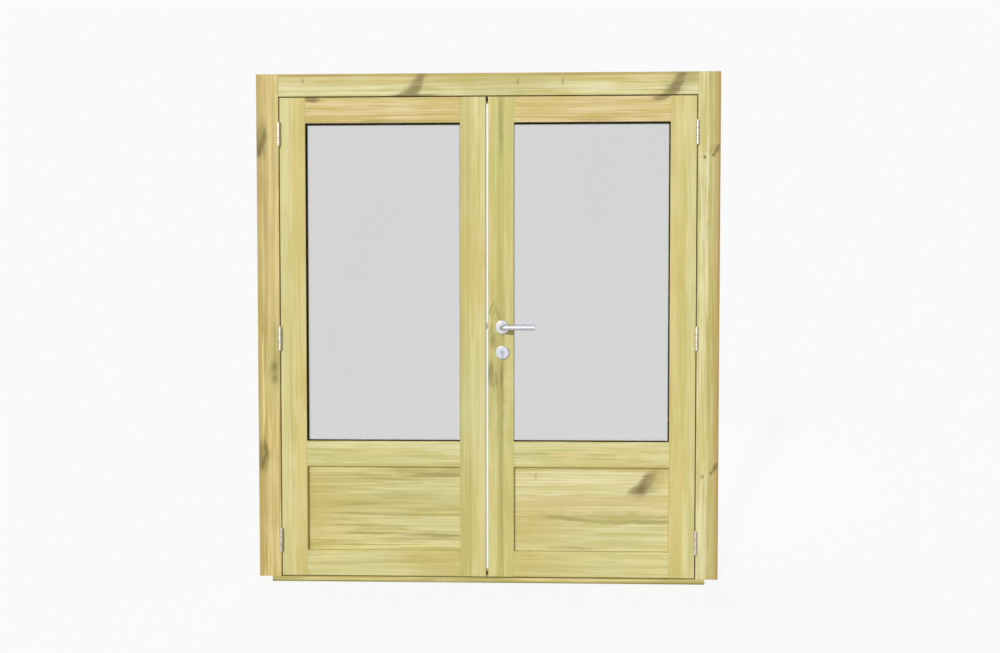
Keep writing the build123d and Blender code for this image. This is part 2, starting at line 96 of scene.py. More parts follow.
def noise(tree, vector, stretch, detail=2.0, roughness=0.55):
    scaled = vecCalc(tree, "MULTIPLY", vector, stretch).outputs[0]
    return put(tree, "ShaderNodeTexNoise", {
        "Vector": scaled, "Scale": 1.0, "Detail": detail, "Roughness": roughness,
    }).outputs


def sway(tree, vector, *pattern):
    # noise that goes as far below zero as above it
    return calc(tree, "SUBTRACT", noise(tree, vector, *pattern)[0], 0.5)


def startGroup(name, inputs, outputs):
    tree = bpy.data.node_groups.new(name, "ShaderNodeTree")
    for direction, sockets in (("INPUT", inputs), ("OUTPUT", outputs)):
        for label, kind in sockets.items():
            tree.interface.new_socket(label, in_out=direction, socket_type="NodeSocket" + kind)
    return tree, tree.nodes.new("NodeGroupInput").outputs, tree.nodes.new("NodeGroupOutput").inputs


def startMaterial(name):
    material = bpy.data.materials.new(name)
    material.use_nodes = True
    tree = material.node_tree
    return material, tree, tree.nodes["Principled BSDF"]


def useGroup(tree, group, values):
    return put(tree, "ShaderNodeGroup", values, node_tree=group).outputs


def paintFrom(tree, bsdf, finish):
    tree.links.new(finish["Color"], bsdf.inputs["Base Color"])
    tree.links.new(finish["Roughness"], bsdf.inputs["Roughness"])


def bumpInto(tree, bsdf, height, strength, distance):
    bump = put(tree, "ShaderNodeBump", {"Height": height, "Strength": strength, "Distance": distance})
    tree.links.new(bump.outputs[0], bsdf.inputs["Normal"])


def dress(material, *names):
    for name in names:
        slots = nodes[name].data.materials
        if len(slots):
            for place in range(len(slots)):
                slots[place] = material
        else:
            slots.append(material)


# Camera at the photograph's angle
cameraSettings = {
    "imageWidth": 1000,        # pixels
    "focalLength": 960.0,      # pixels
    "sensorWidth": 36.0,       # mm
    "place": (0.162, -3.7595, 1.124),
    "turnLeft": 1.72,          # degrees
    "tiltDown": 1.87,          # degrees
}


def makeCamera(s):
    data = bpy.data.cameras.new("photoCamera")
    data.sensor_fit = "HORIZONTAL"
    data.sensor_width = s["sensorWidth"]
    data.lens = s["focalLength"] * s["sensorWidth"] / s["imageWidth"]
    camera = bpy.data.objects.new("photoCamera", data)
    camera.location = s["place"]
    camera.rotation_euler = (math.radians(90 - s["tiltDown"]), 0, math.radians(s["turnLeft"]))
    scene.collection.objects.link(camera)
    scene.camera = camera


makeCamera(cameraSettings)
print("camera set")

# Studio: an even sky, a sun from the upper left in front, a soft fill from behind, and a pale floor
studio = {
    "backdrop": 0.956,         # level that the camera, metal and glass see
    "skyLevel": 0.35,          # level that lights the object
    "farSide": 0.22,           # share of the backdrop that metal sees at the far right
    "farSideTurn": (0.05, 0.85),    # where that starts and is full, from ahead (0) to square right (1)
    "sun": {"level": 0.655, "height": 19.0, "left": 18.0, "size": 2.0},    # level on a square face, degrees
    "fill": {"level": 0.40, "height": 38.0, "left": 150.0, "size": 60.0},
    "floorSize": 30.0,         # m
    "floorShade": 0.62,        # how pale the floor is to the light
    "floorShadow": 0.20,       # share of that shade that the camera sees the shadow on
    "floorInMetal": 1.0,       # level of the floor that metal mirrors
    "paintedShadeInMetal": 0.15,      # painted shade: the same, darker, close to the doors
    "paintedShadeReach": (0.224, 0.32),    # m in front and behind, where that painted shade starts to fade and ends
}


def lightPathShare(tree, *rays):
    path = put(tree, "ShaderNodeLightPath")
    share = path.outputs[rays[0]]
    for ray in rays[1:]:
        share = calc(tree, "MAXIMUM", share, path.outputs[ray])
    return share


def makeSky(s):
    world = bpy.data.worlds.new("studioSky")
    scene.world = world
    world.use_nodes = True
    tree = world.node_tree
    tree.nodes.clear()
    seen = lightPathShare(tree, "Is Camera Ray", "Is Transmission Ray")
    mirrored = lightPathShare(tree, "Is Glossy Ray")
    toRight = split(tree, put(tree, "ShaderNodeTexCoord").outputs["Generated"])[0]
    seenInMetal = ramp(tree, toRight, *s["farSideTurn"], s["backdrop"], s["backdrop"] * s["farSide"])
    level = put(tree, "ShaderNodeMix", {0: mirrored, 2: s["skyLevel"], 3: seenInMetal}).outputs[0]
    level = put(tree, "ShaderNodeMix", {0: seen, 2: level, 3: s["backdrop"]}).outputs[0]
    sky = put(tree, "ShaderNodeBackground", {"Color": (1, 1, 1, 1), "Strength": level})
    out = put(tree, "ShaderNodeOutputWorld")
    tree.links.new(sky.outputs[0], out.inputs[0])


def makeSun(name, s):
    data = bpy.data.lights.new(name, "SUN")
    data.energy = s["level"] * math.pi
    data.angle = math.radians(s["size"])
    sun = bpy.data.objects.new(name, data)
    sun.rotation_euler = (math.radians(90 - s["height"]), 0, math.radians(-s["left"]))
    scene.collection.objects.link(sun)


def makeFloor(s):
    half = s["floorSize"] / 2
    mesh = bpy.data.meshes.new("floor")
    corners = [(-half, -half, 0), (half, -half, 0), (half, half, 0), (-half, half, 0)]
    mesh.from_pydata(corners, [], [(0, 1, 2, 3)])
    floor = bpy.data.objects.new("floor", mesh)
    scene.collection.objects.link(floor)
    material = bpy.data.materials.new("paleFloor")
    material.use_nodes = True
    tree = material.node_tree
    tree.nodes.clear()
    lit = s["skyLevel"]
    for sun in (s["sun"], s["fill"]):
        lit += sun["level"] * math.sin(math.radians(sun["height"]))
    seenShade = s["floorShade"] * s["floorShadow"]
    byCamera = lightPathShare(tree, "Is Camera Ray")
    through = lightPathShare(tree, "Is Transmission Ray")
    mirrored = lightPathShare(tree, "Is Glossy Ray")
    mirrored = calc(tree, "MULTIPLY", mirrored, calc(tree, "SUBTRACT", 1.0, through))
    glowOnly = calc(tree, "MAXIMUM", through, mirrored)
    shade = calc(tree, "MULTIPLY_ADD", byCamera, seenShade - s["floorShade"], s["floorShade"])
    shade = calc(tree, "MULTIPLY", shade, calc(tree, "SUBTRACT", 1.0, glowOnly))
    glow = calc(tree, "MULTIPLY", byCamera, s["backdrop"] - seenShade * lit)
    glow = calc(tree, "MULTIPLY_ADD", through, s["backdrop"], glow)
    # painted shade: metal sees the floor darker close to the doors, standing in for their shade
    away = calc(tree, "ABSOLUTE", split(tree, ownPlace(tree))[1])
    mirroredWithPaintedShade = ramp(tree, away, *s["paintedShadeReach"], s["paintedShadeInMetal"], s["floorInMetal"])
    glow = calc(tree, "MULTIPLY_ADD", mirrored, mirroredWithPaintedShade, glow)
    paint = put(tree, "ShaderNodeBsdfDiffuse", {"Color": grey(tree, shade)})
    light = put(tree, "ShaderNodeEmission", {"Strength": glow})
    both = put(tree, "ShaderNodeAddShader", {0: paint.outputs[0], 1: light.outputs[0]})
    out = put(tree, "ShaderNodeOutputMaterial")
    tree.links.new(both.outputs[0], out.inputs[0])
    mesh.materials.append(material)


makeSky(studio)
makeSun("sun", studio["sun"])
makeSun("fill", studio["fill"])
makeFloor(studio)
print("studio lit")


# Treated pine: long streaks, growth rings round a heart line, fine fibres and slow drifts of tone.
# The board's own axes are along, across and depth. A noise here is how often it repeats in a metre
# on each of them, then its detail and its roughness. A turn is where an effect starts and is full.
pineSettings = {
    "seedShift": (3.71, 1.37, 2.13),           # m for each whole seed
    "wander": ((1.1, 5.0, 5.0), 2.0),          # noise that the heart line wanders by
    "wanderReach": (0.0, 0.022, 0.022),        # m
    "heartRun": (0.012, 1.0, 1.0),             # rings hardly change along the board
    "waver": ((4.0, 55.0, 55.0), 2.0),         # noise that rings waver by
    "waverReach": 0.55,                        # of a ring's width
    "lateStart": (0.25, 0.88),                 # turn into a ring's dark wood, as a share of the ring
    "lateEnd": (0.90, 1.0),                    # turn out of it
    "lateLeast": 0.1,                          # depth of the faintest ring
    "lateTint": linear(222, 206, 168),
    "streaks": [                               # noises, each with how far it pulls the tone
        (((2.0, 44.0, 44.0), 3.0, 0.6), 2.6),
        (((1.3, 13.0, 13.0), 1.0, 0.6), 1.6),
        (((3.0, 150.0, 150.0), 2.0, 0.6), 2.9),
        (((7.0, 26.0, 26.0), 1.0, 0.6), 1.4),
    ],
    "middleTone": 0.5,
    "fibre": ((16.0, 560.0, 560.0), 3.0, 0.65),
    "fleck": ((70.0, 1300.0, 1300.0), 1.0),
    "fleckTurn": (0.64, 0.74),
    "slow": ((2.4, 8.0, 8.0), 1.0),            # noise of the slow drifts
    "slowTurn": (0.38, 0.62),
    "shade": {"base": 0.945, "fibre": 0.11, "fleck": 0.10},
    "height": {"fibre": 0.6, "late": 0.5, "fleck": 0.4},
    "rough": {"base": 0.52, "fibre": 0.22, "late": 0.12},
    "contrast": 1.3,                           # for a member that gives none
    "boardStep": 0.43,                         # of a seed, from one glued board to the next
    "shine": 0.3,
    "bump": 0.35,
    "grainDepth": 0.0006,                      # m
}


def makePineGroup(s):
    tree, given, result = startGroup(
        "pineGrain",
        {
            "Board": "Vector", "Seed": "Float", "Heart": "Vector", "Ring Width": "Float",
            "Ring Depth": "Float", "Pale": "Color", "Deep": "Color", "Drift": "Color",
            "Drift Share": "Float", "Contrast": "Float",
        },
        {"Color": "Color", "Height": "Float", "Roughness": "Float"},
    )
    board, seed = given["Board"], given["Seed"]
    shift = put(tree, "ShaderNodeCombineXYZ", {
        axis: calc(tree, "MULTIPLY", seed, step) for axis, step in enumerate(s["seedShift"])
    }).outputs[0]
    spot = vecCalc(tree, "ADD", board, shift).outputs[0]

    wander = noise(tree, spot, *s["wander"])["Color"]
    wander = vecCalc(tree, "SUBTRACT", wander, (0.5, 0.5, 0.5)).outputs[0]
    wander = vecCalc(tree, "MULTIPLY", wander, s["wanderReach"]).outputs[0]
    offHeart = vecCalc(tree, "SUBTRACT", board, given["Heart"]).outputs[0]
    offHeart = vecCalc(tree, "MULTIPLY", offHeart, s["heartRun"]).outputs[0]
    offHeart = vecCalc(tree, "ADD", offHeart, wander).outputs[0]
    distance = vecCalc(tree, "LENGTH", offHeart).outputs["Value"]
    turns = calc(tree, "DIVIDE", distance, given["Ring Width"])
    turns = calc(tree, "MULTIPLY_ADD", sway(tree, spot, *s["waver"]), s["waverReach"], turns)
    share = calc(tree, "FRACT", turns)
    ringSeed = calc(tree, "ADD", calc(tree, "FLOOR", turns), seed)
    ringTone = put(tree, "ShaderNodeTexWhiteNoise", {"W": ringSeed}, noise_dimensions="1D").outputs["Value"]
    late = ramp(tree, share, *s["lateStart"])
    late = calc(tree, "MULTIPLY", late, ramp(tree, share, *s["lateEnd"], 1.0, 0.0))
    late = calc(tree, "MULTIPLY", late, ramp(tree, ringTone, 0.0, 1.0, s["lateLeast"], 1.0))
    late = calc(tree, "MULTIPLY", late, given["Ring Depth"])

    tone = 0.0
    for pattern, pull in s["streaks"]:
        tone = calc(tree, "MULTIPLY_ADD", sway(tree, spot, *pattern), pull, tone)
    tone = calc(tree, "MULTIPLY_ADD", tone, given["Contrast"], s["middleTone"])
    fibre = noise(tree, spot, *s["fibre"])[0]
    fleck = ramp(tree, noise(tree, spot, *s["fleck"])[0], *s["fleckTurn"])
    slow = ramp(tree, noise(tree, spot, *s["slow"])[0], *s["slowTurn"])

    color = mixColor(tree, tone, given["Pale"], given["Deep"])
    color = mixColor(tree, calc(tree, "MULTIPLY", slow, given["Drift Share"]), color, given["Drift"])
    color = mixColor(tree, late, color, mixColor(tree, 1.0, color, s["lateTint"], "MULTIPLY"))
    shade = calc(tree, "MULTIPLY_ADD", fibre, s["shade"]["fibre"], s["shade"]["base"])
    shade = calc(tree, "SUBTRACT", shade, calc(tree, "MULTIPLY", fleck, s["shade"]["fleck"]))
    tree.links.new(mixColor(tree, 1.0, color, grey(tree, shade), "MULTIPLY"), result["Color"])
    height = calc(tree, "MULTIPLY", fibre, s["height"]["fibre"])
    height = calc(tree, "MULTIPLY_ADD", late, s["height"]["late"], height)
    height = calc(tree, "SUBTRACT", height, calc(tree, "MULTIPLY", fleck, s["height"]["fleck"]))
    tree.links.new(height, result["Height"])
    rough = calc(tree, "MULTIPLY_ADD", fibre, s["rough"]["fibre"], s["rough"]["base"])
    rough = calc(tree, "SUBTRACT", rough, calc(tree, "MULTIPLY", late, s["rough"]["late"]))
    tree.links.new(rough, result["Roughness"])
    return tree


# A knot, a branch streak or a stain, or a strip of painted shade along a gap: a soft tilted patch, broken up
# along the grain
markSettings = {
    "bend": ((14.0, 3.0, 3.0), 1.0),           # noise that the patch bends by
    "bendReach": 0.9,                          # of its breadth
    "fadeInward": 16.0,                        # for each metre into the wood
    "edge": ((18.0, 160.0, 160.0), 3.0, 0.6),  # noise that frays its edge
    "edgeReach": 0.7,
    "end": 1.15,                               # of its reach, where the last of it is gone
    "streaks": ((6.0, 240.0, 240.0), 3.0, 0.6),
    "streakTurn": (0.3, 0.7),
    "streakLeast": 0.62,                       # share of the tone that the faintest streak keeps
}


def makeMarkGroup(s):
    tree, given, result = startGroup(
        "timberMarkAndShade",
        {
            "Board": "Vector", "Place": "Vector", "Reach": "Float", "Breadth": "Float", "Tilt": "Float",
            "Softness": "Float",
        },
        {"Mask": "Float"},
    )
    board = given["Board"]
    off = vecCalc(tree, "SUBTRACT", board, given["Place"]).outputs[0]
    turned = put(tree, "ShaderNodeVectorRotate", {"Vector": off, "Axis": (0, 0, 1), "Angle": given["Tilt"]},
                 rotation_type="AXIS_ANGLE", invert=True).outputs[0]
    along, across, inward = split(tree, turned)
    bend = calc(tree, "MULTIPLY", given["Breadth"], s["bendReach"])
    across = calc(tree, "MULTIPLY_ADD", sway(tree, board, *s["bend"]), bend, across)
    spread = 0.0
    for part in (calc(tree, "DIVIDE", along, given["Reach"]), calc(tree, "DIVIDE", across, given["Breadth"]),
                 calc(tree, "MULTIPLY", inward, s["fadeInward"])):
        spread = calc(tree, "MULTIPLY_ADD", part, part, spread)
    edge = sway(tree, board, *s["edge"])
    spread = calc(tree, "MULTIPLY_ADD", edge, s["edgeReach"], calc(tree, "SQRT", spread))
    mask = ramp(tree, spread, calc(tree, "SUBTRACT", 1.0, given["Softness"]), s["end"], 1.0, 0.0)
    streaks = ramp(tree, noise(tree, board, *s["streaks"])[0], *s["streakTurn"], s["streakLeast"], 1.0)
    tree.links.new(calc(tree, "MULTIPLY", mask, streaks), result["Mask"])
    return tree


# A band of other tone, or of painted shade along a gap or edge, that runs the length of a member
bandSettings = {
    "bend": ((3.5, 9.0, 9.0), 2.0),            # noise that the band bends by
    "bendReach": 2.0,                          # of how soft its edges are
    "streaks": ((2.2, 120.0, 120.0), 3.0, 0.6),
    "streakTurn": (0.3, 0.7),
    "streakLeast": 0.7,                        # share of the tone that the faintest streak keeps
}


def makeBandGroup(s):
    tree, given, result = startGroup(
        "toneAndShadeBand",
        {"Board": "Vector", "Low": "Float", "High": "Float", "Edge": "Float"},
        {"Mask": "Float"},
    )
    board, edge = given["Board"], given["Edge"]
    bend = calc(tree, "MULTIPLY", edge, s["bendReach"])
    across = calc(tree, "MULTIPLY_ADD", sway(tree, board, *s["bend"]), bend, split(tree, board)[1])
    mask = ramp(tree, noise(tree, board, *s["streaks"])[0], *s["streakTurn"], s["streakLeast"], 1.0)
    for border, before, after in ((given["Low"], 0.0, 1.0), (given["High"], 1.0, 0.0)):
        start, stop = (calc(tree, step, border, edge) for step in ("SUBTRACT", "ADD"))
        mask = calc(tree, "MULTIPLY", mask, ramp(tree, across, start, stop, before, after))
    tree.links.new(mask, result["Mask"])
    return tree


pineGrain = makePineGroup(pineSettings)
timberMarkAndShade = makeMarkGroup(markSettings)
toneAndShadeBand = makeBandGroup(bandSettings)

pineTones = {
    "cream": linear(235, 227, 180),
    "straw": linear(227, 217, 156),
    "celadon": linear(212, 209, 152),
    "lemon": linear(206, 195, 120),
    "pea": linear(196, 191, 116),
    "olive": linear(188, 178, 104),
    "honey": linear(225, 206, 136),
    "gold": linear(203, 182, 106),
    "amber": linear(187, 164, 94),
    "rose": linear(227, 207, 154),
    "rust": linear(176, 142, 88),
    "moss": linear(138, 130, 70),
    "umber": linear(118, 98, 54),
    # sootAndShade is mostly painted shade along the gaps between members; it also tints a few small dark dots
    # on the right jamb
    "sootAndShade": linear(70, 62, 30),
}

# Every timber member: which way its grain runs, its rings, its tones, its bands and its marks, in m.
# A band is where it starts and stops across the grain, how soft its edges are, its tone and strength.
# A mark is its place (x, z), its reach and breadth to each side, its tilt from the grain in degrees,
# its tone, its strength and its softness. Later marks lie over earlier ones.
timbers = {
    "head": {
        "grain": "x", "seed": 1.0, "heart": (0.45, 0.035, 0.07), "ring": 0.0075, "depth": 0.5,
        "tones": ("cream", "lemon", "celadon"), "drift": 0.3,
        "bands": [
            (1.9655, 1.990, 0.003, "amber", 0.95), (1.945, 1.968, 0.008, "gold", 0.55),
            # painted shade: the sootAndShade band darkens the head's lower edge over the gap above the leaves
            (1.880, 1.8922, 0.0005, "sootAndShade", 0.7),
        ],
        "marks": [
            ((-0.28, 1.925), 0.12, 0.048, 55, "moss", 0.3, 0.9),
            ((0.725, 1.925), 0.12, 0.060, 55, "moss", 0.45, 0.9),
            ((0.775, 1.945), 0.05, 0.030, 30, "moss", 0.35, 0.9),
            ((0.702, 1.916), 0.04, 0.020, 40, "moss", 0.40, 0.9),
            ((-0.325, 1.902), 0.03, 0.014, 20, "moss", 0.6, 0.8),
            # painted shade: this mark darkens that gap line further here
            ((-0.275, 1.894), 0.12, 0.004, 0, "sootAndShade", 0.8, 0.5),
            ((0.0, 1.955), 0.28, 0.022, 0, "olive", 0.5, 0.9),
            ((-0.50, 1.955), 0.12, 0.020, 0, "celadon", 0.4, 0.9),
            ((0.07, 1.935), 0.36, 0.09, 0, "olive", 0.7, 0.9),
            ((0.46, 1.912), 0.22, 0.026, 0, "cream", 0.5, 0.9),
            ((-0.273, 1.931), 0.085, 0.026, 60, "umber", 0.75, 0.6),
            ((-0.300, 1.903), 0.046, 0.016, 26, "moss", 0.75, 0.8),
            ((0.727, 1.930), 0.085, 0.027, 60, "umber", 0.75, 0.6),
            ((0.692, 1.900), 0.036, 0.016, 28, "moss", 0.7, 0.8),
            ((-0.713, 1.951), 0.007, 0.016, 8, "moss", 0.6, 0.7),
            ((0.119, 1.946), 0.006, 0.015, -8, "moss", 0.65, 0.7),
            ((0.291, 1.944), 0.007, 0.015, 4, "moss", 0.65, 0.7),
            ((-0.66, 1.972), 0.16, 0.007, 0, "rust", 0.5, 0.8),
            ((0.32, 1.972), 0.15, 0.007, 0, "rust", 0.5, 0.8),
        ],
    },
    "sill": {
        "grain": "x", "seed": 2.0, "heart": (-0.2, 0.06, 0.05), "ring": 0.007, "depth": 0.5,
        "tones": ("straw", "olive", "honey"), "drift": 0.4,
        # painted shade: the moss band darkens the sill's foot, where it meets the floor
        "bands": [(-0.02, 0.0068, 0.001, "moss", 0.8)], "marks": [],
    },
    "left_jamb": {
        "grain": "z", "seed": 3.0, "heart": (-0.3, -0.06, 0.07), "ring": 0.009, "depth": 0.6,
        "tones": ("honey", "amber", "rose"), "drift": 0.45, "contrast": 1.6,
        "bands": [
            (-0.850, -0.812, 0.006, "honey", 0.4),
            (-0.900, -0.878, 0.004, "amber", 0.75), (-0.832, -0.826, 0.002, "amber", 0.6),
            # painted shade: the sootAndShade band darkens the jamb's inner edge in the gap beside the leaf
            (-0.8090, -0.80, 0.0004, "sootAndShade", 0.6),
        ],
        "marks": [
            ((-0.850, 1.93), 0.26, 0.06, 0, "gold", 0.5, 1.0),
            ((-0.873, 1.570), 0.12, 0.040, 0, "amber", 0.6, 0.9),
            ((-0.873, 1.450), 0.42, 0.036, 0, "amber", 0.35, 1.0),
            ((-0.834, 0.850), 0.22, 0.044, 0, "olive", 0.75, 0.9),
            ((-0.834, 0.120), 0.10, 0.030, 0, "rose", 0.5, 0.9),
            ((-0.810, 0.200), 0.17, 0.005, 0, "straw", 0.8, 0.5),
            ((-0.857, 0.480), 0.05, 0.010, 0, "moss", 0.5, 0.9),
            ((-0.834, 0.440), 0.11, 0.030, 0, "rose", 0.5, 0.9),
            ((-0.873, 0.360), 0.22, 0.040, 0, "amber", 0.5, 0.9),
            ((-0.876, 1.718), 0.080, 0.030, 0, "moss", 0.85, 0.6),
            ((-0.882, 1.690), 0.036, 0.015, -18, "umber", 0.95, 0.6),
            ((-0.872, 1.722), 0.034, 0.010, -8, "umber", 0.75, 0.7),
            ((-0.862, 1.738), 0.040, 0.007, 2, "umber", 0.4, 0.8),
            ((-0.864, 1.780), 0.060, 0.016, 0, "moss", 0.4, 0.9),
            ((-0.826, 0.970), 0.080, 0.014, 0, "moss", 0.6, 0.9),
            ((-0.827, 0.835), 0.085, 0.024, 0, "moss", 0.7, 0.9),
            ((-0.831, 0.846), 0.022, 0.016, 0, "umber", 0.6, 0.8),
            ((-0.831, 0.797), 0.024, 0.014, 0, "moss", 0.7, 0.8),
            ((-0.868, 1.500), 0.13, 0.012, 2, "rust", 0.4, 0.9),
            ((-0.862, 1.400), 0.12, 0.012, 0, "rust", 0.4, 0.9),
            ((-0.878, 0.495), 0.074, 0.026, 0, "moss", 0.8, 0.6),
            ((-0.866, 0.520), 0.046, 0.009, 8, "umber", 0.8, 0.7),
            ((-0.878, 0.468), 0.040, 0.010, -12, "umber", 0.85, 0.7),
            ((-0.888, 0.490), 0.070, 0.006, 0, "moss", 0.7, 0.7),
            ((-0.872, 0.30), 0.14, 0.010, 0, "rust", 0.4, 0.9),
        ],
    },
    "right_jamb": {
        "grain": "z", "seed": 4.0, "heart": (0.4, 0.08, 0.06), "ring": 0.010, "depth": 0.5,
        "tones": ("cream", "olive", "straw"), "drift": 0.2, "contrast": 1.5,
        "bands": [
            # painted shade: the sootAndShade band darkens the jamb's inner edge in the gap beside the leaf
            (0.800, 0.846, 0.010, "straw", 0.35), (0.80, 0.8090, 0.0004, "sootAndShade", 0.6),
            (0.851, 0.868, 0.006, "olive", 0.95), (0.870, 0.900, 0.006, "amber", 1.0),
            (0.886, 0.900, 0.004, "rust", 0.75),
        ],
        "marks": [
            ((0.835, 1.652), 0.009, 0.008, 0, "sootAndShade", 0.9, 0.6),
            ((0.867, 1.660), 0.009, 0.008, 20, "umber", 0.9, 0.6),
            ((0.882, 1.682), 0.034, 0.012, -34, "umber", 0.85, 0.8),
            ((0.834, 0.422), 0.009, 0.008, 0, "sootAndShade", 0.9, 0.6),
            ((0.867, 0.435), 0.009, 0.008, 20, "umber", 0.9, 0.6),
            ((0.882, 0.457), 0.034, 0.012, -34, "umber", 0.85, 0.8),
            ((0.834, 1.81), 0.20, 0.036, 0, "lemon", 0.9, 0.9),
            ((0.834, 1.08), 0.14, 0.036, 0, "lemon", 0.4, 0.9),
            ((0.862, 1.685), 0.03, 0.012, -34, "moss", 0.45, 0.9),
            ((0.834, 0.54), 0.20, 0.036, 0, "lemon", 0.9, 0.9),
            ((0.837, 1.39), 0.17, 0.020, 0, "cream", 0.8, 0.9),
            ((0.835, 0.08), 0.13, 0.026, 0, "cream", 0.75, 0.9),
        ],
    },
    "left_hinge_stile": {
        "grain": "z", "seed": 5.0, "heart": (0.1, 0.05, 0.09), "ring": 0.009, "depth": 0.4,
        "tones": ("straw", "lemon", "honey"), "drift": 0.3,
        "bands": [(-0.81, -0.766, 0.012, "celadon", 0.5), (-0.752, -0.70, 0.012, "gold", 0.45)],
        "marks": [
            ((-0.731, 1.57), 0.20, 0.040, 0, "honey", 0.6, 0.9),
            ((-0.777, 1.04), 0.11, 0.044, 0, "lemon", 0.8, 0.9),
        ],
    },
    "left_meeting_stile": {
        "grain": "z", "seed": 6.0, "heart": (0.2, -0.10, 0.03), "ring": 0.007, "depth": 0.5,
        "tones": ("straw", "lemon", "straw"), "drift": 0.2,
        "bands": [(-0.11, -0.064, 0.002, "olive", 0.6), (-0.028, 0.0, 0.004, "cream", 0.35)],
        "marks": [
            ((-0.05, 1.24), 0.24, 0.090, 0, "gold", 0.8, 0.9),
            ((-0.05, 0.70), 0.34, 0.080, 0, "celadon", 0.6, 0.9),
            ((-0.064, 0.25), 0.42, 0.0025, 0, "moss", 0.6, 0.6),
            ((-0.03, 0.16), 0.34, 0.05, 0, "lemon", 0.5, 0.9),
        ],
    },
    "right_meeting_stile": {
        "grain": "z", "seed": 7.0, "heart": (-0.2, 0.03, 0.06), "ring": 0.0075, "depth": 0.6,
        "tones": ("straw", "lemon", "honey"), "drift": 0.3,
        "bands": [(0.040, 0.067, 0.005, "olive", 0.9), (0.072, 0.11, 0.006, "pea", 0.45)],
        "marks": [
            ((0.05, 0.35), 0.60, 0.09, 0, "pea", 0.5, 0.9),
            ((0.035, 0.85), 0.40, 0.060, 0, "moss", 0.38, 1.0),
            ((0.008, 0.83), 0.05, 0.012, 0, "moss", 0.4, 0.9),
            ((0.05, 1.60), 0.36, 0.080, 0, "pea", 0.75, 0.9),
            ((0.054, 1.77), 0.16, 0.010, 1, "moss", 0.6, 0.8),
            ((0.060, 0.72), 0.34, 0.007, -1, "moss", 0.5, 0.8),
            ((0.056, 0.30), 0.30, 0.006, 1, "moss", 0.45, 0.8),
            ((0.030, 0.95), 0.22, 0.034, 0, "pea", 0.6, 0.9),
            ((0.030, 0.942), 0.040, 0.016, 0, "moss", 0.5, 0.9),
            ((0.018, 1.075), 0.036, 0.006, -20, "moss", 0.65, 0.7),
            ((0.027, 1.058), 0.034, 0.005, -20, "moss", 0.6, 0.7),
            ((0.044, 1.045), 0.040, 0.006, 10, "moss", 0.65, 0.7),
            ((0.014, 0.985), 0.036, 0.007, -18, "moss", 0.6, 0.7),
            ((0.024, 0.945), 0.034, 0.005, -20, "moss", 0.5, 0.7),
            ((0.012, 0.825), 0.056, 0.016, -6, "moss", 0.85, 0.7),
            ((0.020, 0.785), 0.034, 0.014, 4, "moss", 0.6, 0.8),
            ((0.034, 0.800), 0.040, 0.009, 8, "moss", 0.7, 0.7),
            ((0.018, 0.955), 0.040, 0.011, -14, "moss", 0.55, 0.8),
            ((0.056, 0.815), 0.070, 0.006, 0, "umber", 0.5, 0.7),
        ],
    },
    "right_hinge_stile": {
        "grain": "z", "seed": 8.0, "heart": (0.3, -0.04, 0.10), "ring": 0.009, "depth": 0.4,
        "tones": ("straw", "lemon", "honey"), "drift": 0.35,
        "bands": [(0.70, 0.752, 0.012, "gold", 0.3), (0.768, 0.81, 0.012, "celadon", 0.4)],
        "marks": [
            ((0.735, 0.35), 0.22, 0.044, 0, "honey", 0.75, 0.9),
            ((0.731, 1.50), 0.12, 0.036, 0, "straw", 0.5, 0.9),
            ((0.731, 1.19), 0.09, 0.036, 0, "gold", 0.45, 0.9),
        ],
    },
    "left_top_rail": {
        "grain": "x", "seed": 9.0, "heart": (0.2, 0.05, 0.06), "ring": 0.0075, "depth": 0.55,
        "tones": ("rose", "gold", "honey"), "drift": 0.3,
        # painted shade: a dark line along the rail's lower edge, over the pane
        "bands": [(1.78, 1.7892, 0.0004, "sootAndShade", 0.95)],
        "marks": [
            ((-0.680, 1.879), 0.044, 0.012, -6, "umber", 0.95, 0.7),
            ((-0.40, 1.793), 0.10, 0.011, 0, "moss", 0.5, 0.9),
        ],
    },
    "right_top_rail": {
        "grain": "x", "seed": 10.0, "heart": (-0.1, 0.05, 0.06), "ring": 0.0075, "depth": 0.55,
        "tones": ("rose", "gold", "honey"), "drift": 0.3,
        # painted shade: a dark line along the rail's lower edge, over the pane
        "bands": [(1.78, 1.7892, 0.0004, "sootAndShade", 0.95)],
        "marks": [
            ((0.20, 1.830), 0.16, 0.060, 0, "gold", 0.6, 0.9),
            ((0.670, 1.881), 0.048, 0.013, 8, "umber", 0.85, 0.7),
            ((0.42, 1.793), 0.10, 0.011, 0, "moss", 0.5, 0.9),
        ],
    },
    "left_middle_rail": {
        "grain": "x", "seed": 11.0, "heart": (0.1, -0.03, 0.08), "ring": 0.008, "depth": 0.45,
        "tones": ("straw", "pea", "celadon"), "drift": 0.4,
        # painted shade: the gold band darkens the rail's lower edge over the recessed panel
        "bands": [(0.528, 0.548, 0.004, "cream", 0.45), (0.45, 0.466, 0.004, "gold", 0.5)],
        "marks": [
            ((-0.15, 0.522), 0.12, 0.034, 0, "cream", 0.6, 0.9),
            ((-0.42, 0.500), 0.16, 0.060, 0, "lemon", 0.4, 1.0),
        ],
    },
    "right_middle_rail": {
        "grain": "x", "seed": 12.0, "heart": (-0.2, -0.03, 0.08), "ring": 0.008, "depth": 0.45,
        "tones": ("straw", "pea", "celadon"), "drift": 0.4,
        # painted shade: the gold band darkens the rail's lower edge over the recessed panel
        "bands": [(0.528, 0.548, 0.004, "cream", 0.45), (0.45, 0.466, 0.004, "gold", 0.5)],
        "marks": [((0.48, 0.474), 0.36, 0.034, 0, "olive", 0.6, 0.9)],
    },
    "left_bottom_rail": {
        "grain": "x", "seed": 13.0, "heart": (0.3, 0.03, 0.07), "ring": 0.008, "depth": 0.5,
        "tones": ("straw", "lemon", "celadon"), "drift": 0.4, "bands": [],
        "marks": [
